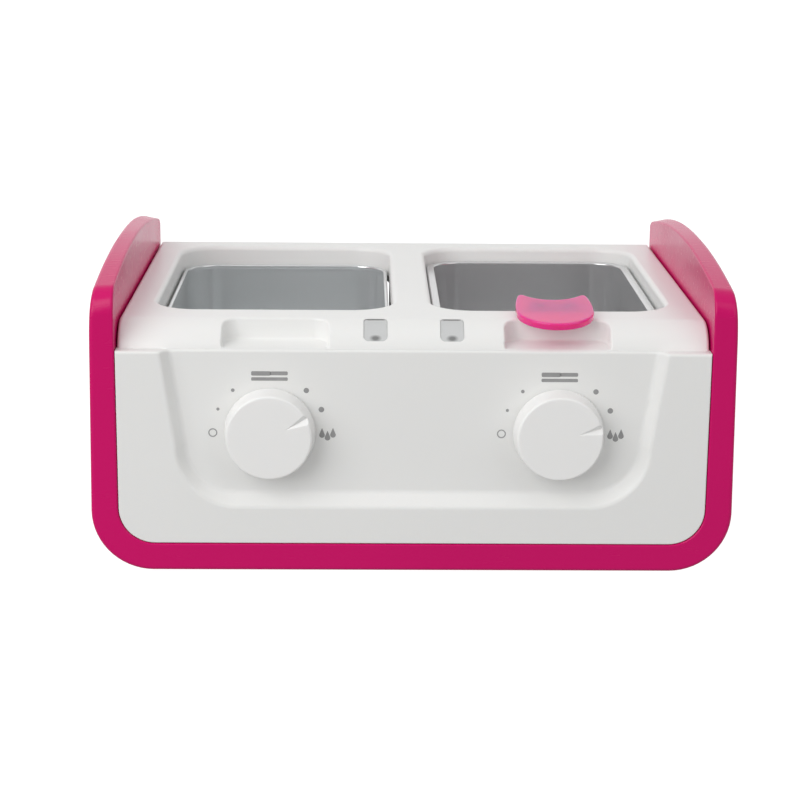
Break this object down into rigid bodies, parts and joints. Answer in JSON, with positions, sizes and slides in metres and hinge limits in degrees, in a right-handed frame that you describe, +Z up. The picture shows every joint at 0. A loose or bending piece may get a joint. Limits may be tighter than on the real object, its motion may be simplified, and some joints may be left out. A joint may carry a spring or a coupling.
{
  "type": "roll-on wax heater",
  "caption": "Countertop roll-on wax heater with side-by-side heated wells, a lift-out tank with thumb grip, turning temperature knobs and a curved cradle frame.",
  "frame": {"origin": "centre of the bounding box footprint, on the surface the rubber feet stand on", "axes": "+X to the right and +Y to the back as seen from the knob side, +Z up"},
  "size_m": [0.272, 0.2106, 0.1308],
  "materials": {
    "frame": "deep magenta, moulded, glossy",
    "frame_cover": "deep magenta, moulded, fine texture",
    "feet": "soft black rubber",
    "screws": "zinc-plated steel",
    "cover": "white, moulded, satin gloss",
    "panel": "white, moulded, satin gloss",
    "rear": "white, fine texture",
    "inner_plastic": "natural nylon",
    "bushing": "black soft plastic",
    "chamber": "grey anodised, drawn",
    "tank": "satin drawn aluminium",
    "grip": "magenta, moulded, high gloss",
    "strap": "pressed stainless strip",
    "rivets": "turned",
    "knob": "white, moulded, satin gloss",
    "spindle": "turned",
    "nuts": "turned, plain",
    "copper": "drawn tube",
    "clips": "spring strip",
    "steel_plate": "zinc-plated sheet",
    "heater": "mica board with foil track",
    "standoffs": "turned",
    "fuses": "sleeved",
    "window": "clear grey, smooth",
    "lamp": "neon lamp",
    "terminal": "natural polyamide"
  },
  "bodies": {
    "housing": {"frame_shell": "frame", "frame_rear_cover": "frame_cover", "rubber_feet": "feet", "case_screws": "screws", "top_cover": "cover", "front_panel": "panel", "rear_panel": "rear", "rear_screws": "screws", "rear_panel_blocks": "inner_plastic", "cord_bushing": "bushing", "left_chamber": "chamber", "right_chamber": "chamber", "left_thermostat": "inner_plastic", "right_thermostat": "inner_plastic", "thermostat_nuts": "nuts", "sensing_bulbs": "copper", "bulb_clips": "clips", "chassis_plate": "steel_plate", "chassis_screws": "screws", "left_heater": "heater", "right_heater": "heater", "heater_standoffs": "standoffs", "standoff_studs": "screws", "thermal_fuses": "fuses", "fuse_clips": "clips", "left_pilot_window": "window", "right_pilot_window": "window", "pilot_lamps": "lamp", "lamp_holders": "inner_plastic", "terminal_block": "terminal", "cord_clamp_base": "inner_plastic", "cord_clamp_cap": "inner_plastic", "cord_clamp_screws": "screws"},
    "left_knob": {"left_knob": "knob", "left_spindle": "spindle"},
    "right_knob": {"right_knob": "knob", "right_spindle": "spindle"},
    "wax_tank": {"wax_tank": "tank", "tank_grip": "grip", "grip_strap": "strap", "grip_rivets": "rivets"}
  },
  "joints": [
    {"name": "left_knob_turn", "type": "hinge", "parent": "housing", "child": "left_knob", "pos_m": [-0.0604, -0.09285, 0.0622], "axis": [0, 1, 0], "range_deg": [-155, 25]},
    {"name": "right_knob_turn", "type": "hinge", "parent": "housing", "child": "right_knob", "pos_m": [0.0613, -0.09285, 0.0622], "axis": [0, 1, 0], "range_deg": [-165, 15]},
    {"name": "wax_tank_lift", "type": "slide", "parent": "housing", "child": "wax_tank", "axis": [0, 0, 1], "range_m": [0, 0.1]}
  ]
}
